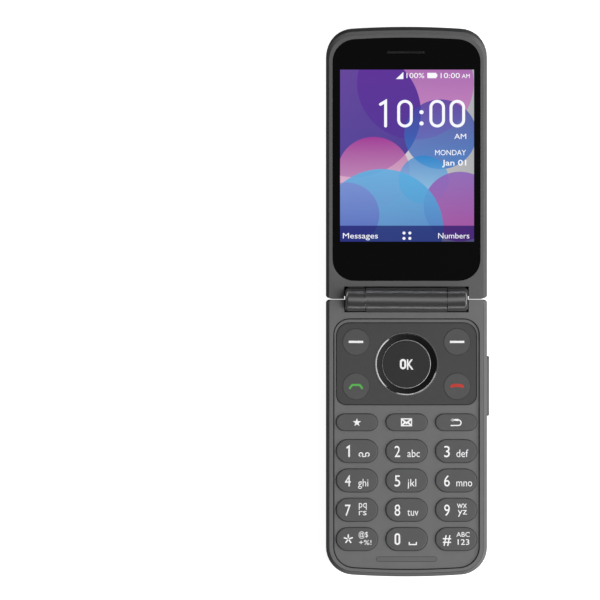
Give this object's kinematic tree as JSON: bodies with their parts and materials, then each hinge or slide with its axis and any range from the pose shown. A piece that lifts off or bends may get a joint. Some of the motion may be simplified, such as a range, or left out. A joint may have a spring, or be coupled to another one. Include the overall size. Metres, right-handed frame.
{
  "type": "flip phone",
  "caption": "Folding keypad phone, shown open: keypad base, barrel hinge, lid with a main display, outer display and camera.",
  "frame": {"origin": "centre of the base's flat back face, on the battery cover", "axes": "+Z out of the keypad, +Y from the base towards the lid, +X to the right of the keypad"},
  "size_m": [0.0588, 0.1978, 0.0374],
  "materials": {
    "graphite_plastic": "fine spark-textured, satin",
    "cover_plastic": "soft-touch, matt",
    "panel_plastic": "satin",
    "key_plastic": "satin",
    "ok_key_plastic": "satin",
    "ring_gloss": "polished",
    "dial_gloss": "spun, polished",
    "printed_glass": "black-printed, polished",
    "printed_window": "black-printed, polished",
    "lens_glass": "polished",
    "flash_diffuser": "moulded lens",
    "display_module": "laminated",
    "pad_rubber": "matt",
    "keypad_silicone": "matt",
    "dome_steel": "formed",
    "tinned_steel": "tinned",
    "screw_steel": "zinc plated",
    "hinge_steel": "ground",
    "mesh_steel": "blackened, woven",
    "magnet_metal": "nickel plated",
    "board_laminate": "solder mask",
    "flex_polyimide": "film",
    "battery_wrap": "film wrapped",
    "black_plastic": "moulded"
  },
  "bodies": {
    "base": {"front_housing": "graphite_plastic", "rear_housing": "graphite_plastic", "nav_panel": "panel_plastic", "face_pad": "pad_rubber", "keypad_mat": "keypad_silicone", "dome_sheet": "dome_steel", "main_board": "board_laminate", "shield_cans": "tinned_steel", "battery_pack": "battery_wrap", "sim_socket": "tinned_steel", "usb_socket": "tinned_steel", "loudspeaker": "black_plastic", "microphone": "tinned_steel", "vibration_motor": "tinned_steel", "volume_switches": "board_laminate", "antenna_carrier": "black_plastic", "housing_screws": "screw_steel", "hinge_cartridge": "hinge_steel", "pivot_sleeve": "hinge_steel", "hinge_flex": "flex_polyimide"},
    "back_cover": {"back_cover": "graphite_plastic"},
    "lid": {"lid_frame": "graphite_plastic", "lid_cover": "cover_plastic", "display_glass": "printed_glass", "main_display": "display_module", "cover_window": "printed_window", "cover_display": "display_module", "camera_trim": "cover_plastic", "camera_module": "black_plastic", "camera_lens": "lens_glass", "flash_lens": "flash_diffuser", "lid_board": "board_laminate", "earpiece": "black_plastic", "earpiece_mesh": "mesh_steel", "hinge_shaft": "hinge_steel", "hall_magnet": "magnet_metal"},
    "key_1": {"key_1": "key_plastic"},
    "key_2": {"key_2": "key_plastic"},
    "key_3": {"key_3": "key_plastic"},
    "key_4": {"key_4": "key_plastic"},
    "key_5": {"key_5": "key_plastic"},
    "key_6": {"key_6": "key_plastic"},
    "key_7": {"key_7": "key_plastic"},
    "key_8": {"key_8": "key_plastic"},
    "key_9": {"key_9": "key_plastic"},
    "key_star": {"key_star": "key_plastic"},
    "key_0": {"key_0": "key_plastic"},
    "key_hash": {"key_hash": "key_plastic"},
    "favourites_key": {"favourites_key": "key_plastic"},
    "messages_key": {"messages_key": "key_plastic"},
    "back_key": {"back_key": "key_plastic"},
    "soft_key_left": {"soft_key_left": "key_plastic"},
    "soft_key_right": {"soft_key_right": "key_plastic"},
    "call_key": {"call_key": "key_plastic"},
    "end_key": {"end_key": "key_plastic"},
    "ok_key": {"ok_key": "ok_key_plastic"},
    "nav_ring": {"nav_ring": "ring_gloss"},
    "nav_ring_carrier": {"nav_ring_carrier": "black_plastic"},
    "volume_key": {"volume_key": "graphite_plastic"},
    "quick_dial_key": {"quick_dial_key": "dial_gloss"}
  },
  "joints": [
    {"name": "back_cover_slide", "type": "slide", "parent": "base", "child": "back_cover", "axis": [0, -1, 0], "range_m": [0, 0.008]},
    {"name": "flip_hinge", "type": "hinge", "parent": "base", "child": "lid", "pos_m": [0, 0.04988, 0.01125], "axis": [1, 0, 0], "range_deg": [0, 164.5]},
    {"name": "key_1_press", "type": "slide", "parent": "base", "child": "key_1", "axis": [0, 0, -1], "range_m": [0, 0.00035], "stiffness_N_per_m": 1500},
    {"name": "key_2_press", "type": "slide", "parent": "base", "child": "key_2", "axis": [0, 0, -1], "range_m": [0, 0.00035], "stiffness_N_per_m": 1500},
    {"name": "key_3_press", "type": "slide", "parent": "base", "child": "key_3", "axis": [0, 0, -1], "range_m": [0, 0.00035], "stiffness_N_per_m": 1500},
    {"name": "key_4_press", "type": "slide", "parent": "base", "child": "key_4", "axis": [0, 0, -1], "range_m": [0, 0.00035], "stiffness_N_per_m": 1500},
    {"name": "key_5_press", "type": "slide", "parent": "base", "child": "key_5", "axis": [0, 0, -1], "range_m": [0, 0.00035], "stiffness_N_per_m": 1500},
    {"name": "key_6_press", "type": "slide", "parent": "base", "child": "key_6", "axis": [0, 0, -1], "range_m": [0, 0.00035], "stiffness_N_per_m": 1500},
    {"name": "key_7_press", "type": "slide", "parent": "base", "child": "key_7", "axis": [0, 0, -1], "range_m": [0, 0.00035], "stiffness_N_per_m": 1500},
    {"name": "key_8_press", "type": "slide", "parent": "base", "child": "key_8", "axis": [0, 0, -1], "range_m": [0, 0.00035], "stiffness_N_per_m": 1500},
    {"name": "key_9_press", "type": "slide", "parent": "base", "child": "key_9", "axis": [0, 0, -1], "range_m": [0, 0.00035], "stiffness_N_per_m": 1500},
    {"name": "key_star_press", "type": "slide", "parent": "base", "child": "key_star", "axis": [0, 0, -1], "range_m": [0, 0.00035], "stiffness_N_per_m": 1500},
    {"name": "key_0_press", "type": "slide", "parent": "base", "child": "key_0", "axis": [0, 0, -1], "range_m": [0, 0.00035], "stiffness_N_per_m": 1500},
    {"name": "key_hash_press", "type": "slide", "parent": "base", "child": "key_hash", "axis": [0, 0, -1], "range_m": [0, 0.00035], "stiffness_N_per_m": 1500},
    {"name": "key_favourites_press", "type": "slide", "parent": "base", "child": "favourites_key", "axis": [0, 0, -1], "range_m": [0, 0.00035], "stiffness_N_per_m": 1500},
    {"name": "key_messages_press", "type": "slide", "parent": "base", "child": "messages_key", "axis": [0, 0, -1], "range_m": [0, 0.00035], "stiffness_N_per_m": 1500},
    {"name": "key_back_press", "type": "slide", "parent": "base", "child": "back_key", "axis": [0, 0, -1], "range_m": [0, 0.00035], "stiffness_N_per_m": 1500},
    {"name": "key_soft_left_press", "type": "slide", "parent": "base", "child": "soft_key_left", "axis": [0, 0, -1], "range_m": [0, 0.00035], "stiffness_N_per_m": 1500},
    {"name": "key_soft_right_press", "type": "slide", "parent": "base", "child": "soft_key_right", "axis": [0, 0, -1], "range_m": [0, 0.00035], "stiffness_N_per_m": 1500},
    {"name": "key_call_press", "type": "slide", "parent": "base", "child": "call_key", "axis": [0, 0, -1], "range_m": [0, 0.00035], "stiffness_N_per_m": 1500},
    {"name": "key_end_press", "type": "slide", "parent": "base", "child": "end_key", "axis": [0, 0, -1], "range_m": [0, 0.00035], "stiffness_N_per_m": 1500},
    {"name": "ok_key_press", "type": "slide", "parent": "base", "child": "ok_key", "axis": [0, 0, -1], "range_m": [0, 0.00035], "stiffness_N_per_m": 1500},
    {"name": "nav_ring_rock_y", "type": "hinge", "parent": "base", "child": "nav_ring_carrier", "pos_m": [0, 0.0266, 0.0094], "axis": [1, 0, 0], "range_deg": [-1.5, 1.5], "stiffness_Nm_per_rad": 0.2},
    {"name": "nav_ring_rock_x", "type": "hinge", "parent": "nav_ring_carrier", "child": "nav_ring", "pos_m": [0, 0.0266, 0.0094], "axis": [0, 1, 0], "range_deg": [-1.5, 1.5], "stiffness_Nm_per_rad": 0.2},
    {"name": "volume_key_rock", "type": "hinge", "parent": "base", "child": "volume_key", "pos_m": [0.02725, 0.01875, 0.0066], "axis": [0, 0, 1], "range_deg": [-2, 2], "stiffness_Nm_per_rad": 0.2},
    {"name": "quick_dial_press", "type": "slide", "parent": "lid", "child": "quick_dial_key", "axis": [0, -0.2672, 0.9636], "range_m": [0, 0.0004], "stiffness_N_per_m": 1500}
  ]
}
